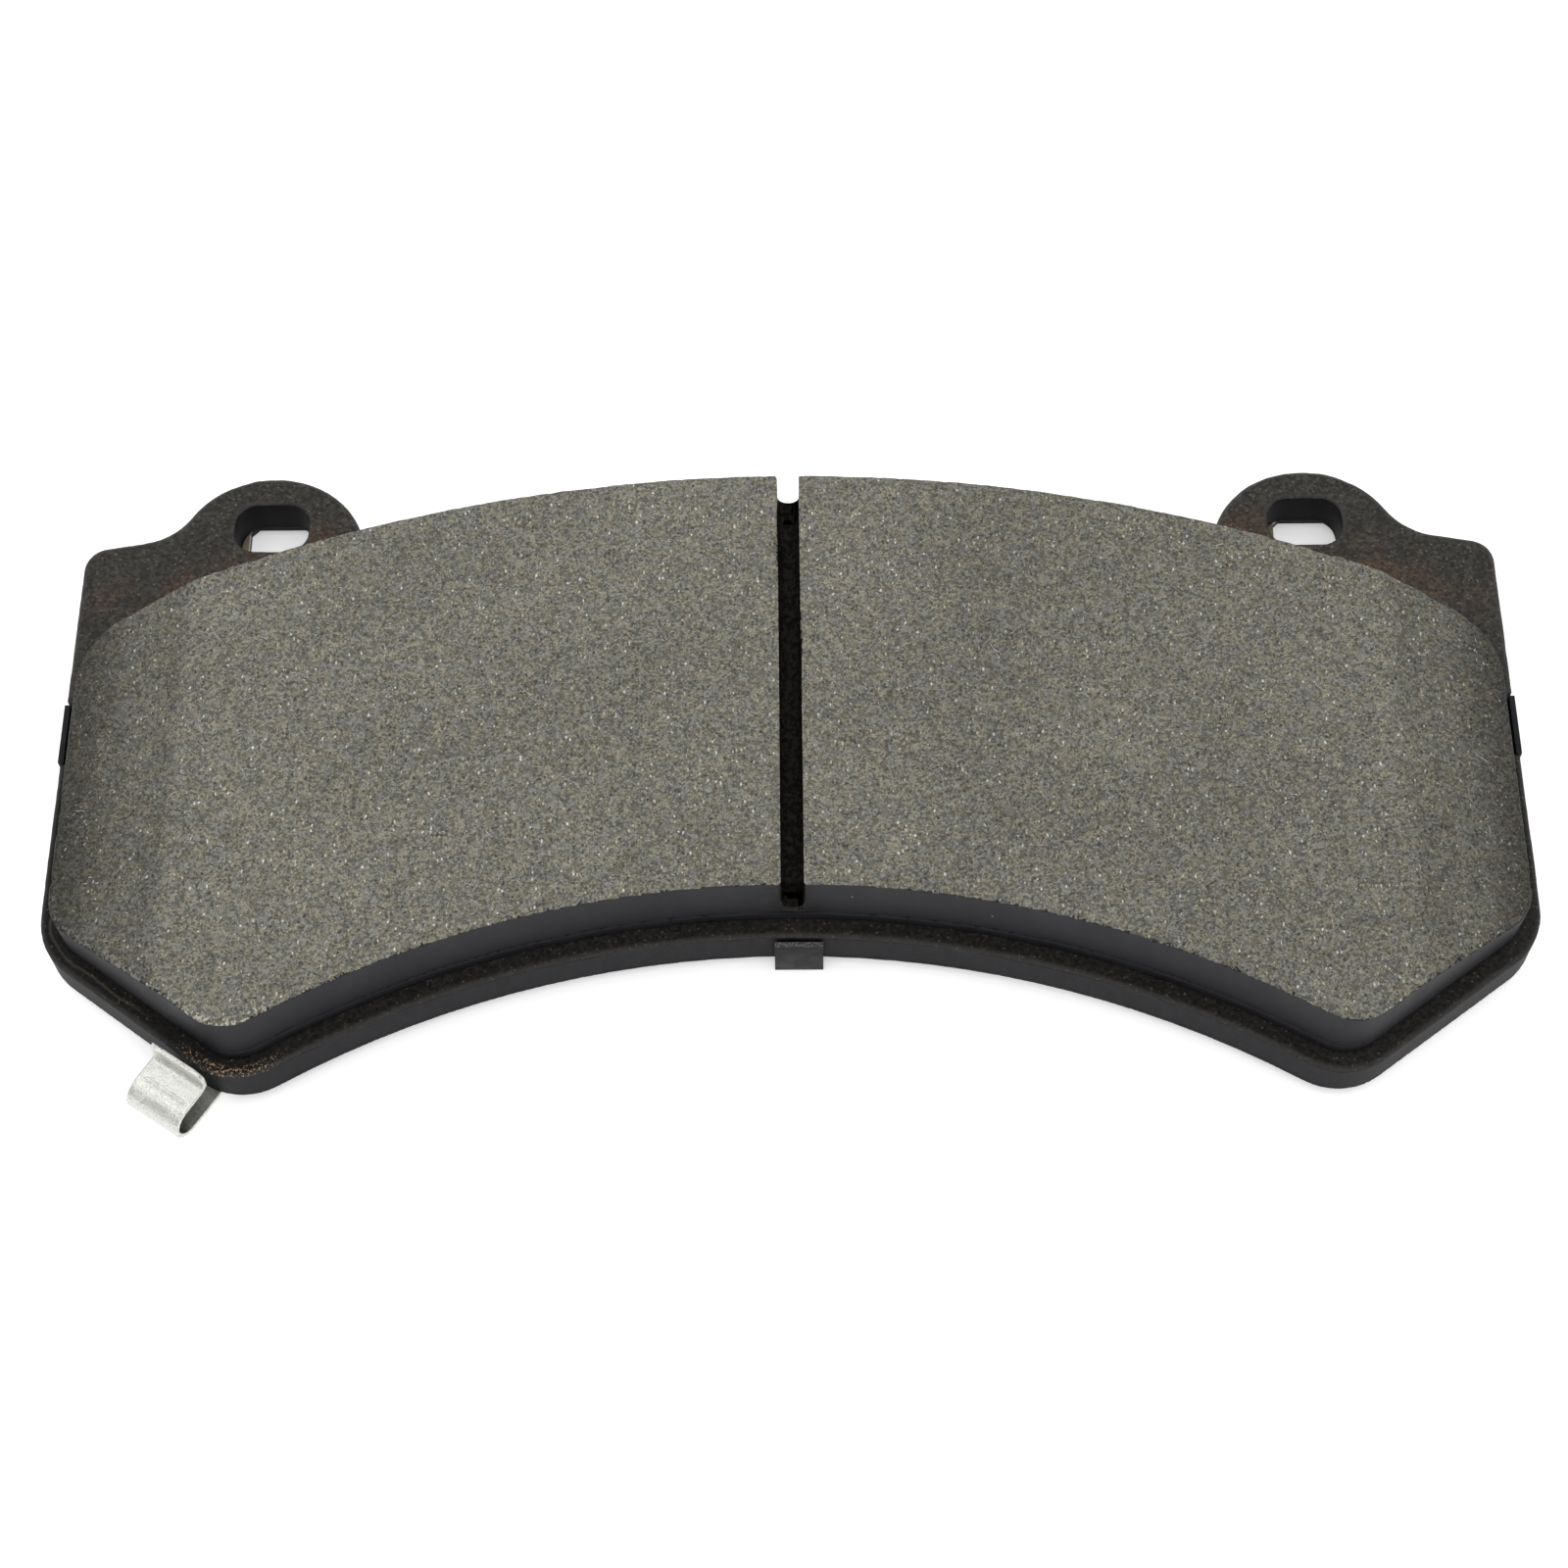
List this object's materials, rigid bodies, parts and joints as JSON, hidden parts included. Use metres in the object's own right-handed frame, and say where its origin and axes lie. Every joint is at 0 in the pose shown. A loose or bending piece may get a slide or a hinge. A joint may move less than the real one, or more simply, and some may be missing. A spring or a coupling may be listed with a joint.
{
  "type": "disc brake pad",
  "caption": "Disc brake pad for a fixed multi-piston caliper: eared steel backing plate, grooved and chamfered friction lining, anti-noise shim and spring wear indicator.",
  "frame": {"origin": "middle of the pad's footprint, on the back face of the shim that the caliper pistons press", "axes": "+X along the pad from the wear indicator's end to the plain end, +Y outwards from the wheel axis towards the pin ears, +Z out of the friction face towards the brake disc"},
  "size_m": [0.1852, 0.0914, 0.018],
  "materials": {
    "plate_steel": "shot-blasted, black-brown phosphate and paint",
    "underlayer_mix": "moulded, satin",
    "friction_mix": "ground, speckled with metal fibre",
    "shim_coating": "baked rubber coating, satin black",
    "damping_rubber": "matt",
    "shim_steel": "cold-rolled",
    "adhesive_film": "cured film",
    "zinc_plate": "bright zinc plating, satin"
  },
  "bodies": {
    "root": {"backing_plate": "plate_steel", "underlayer": "underlayer_mix", "friction_lining": "friction_mix", "shim_plate": "shim_coating", "shim_damping_layer": "damping_rubber", "shim_inner_plate": "shim_steel", "shim_adhesive": "adhesive_film", "wear_indicator": "zinc_plate", "wear_indicator_rivet": "zinc_plate"}
  },
  "joints": []
}
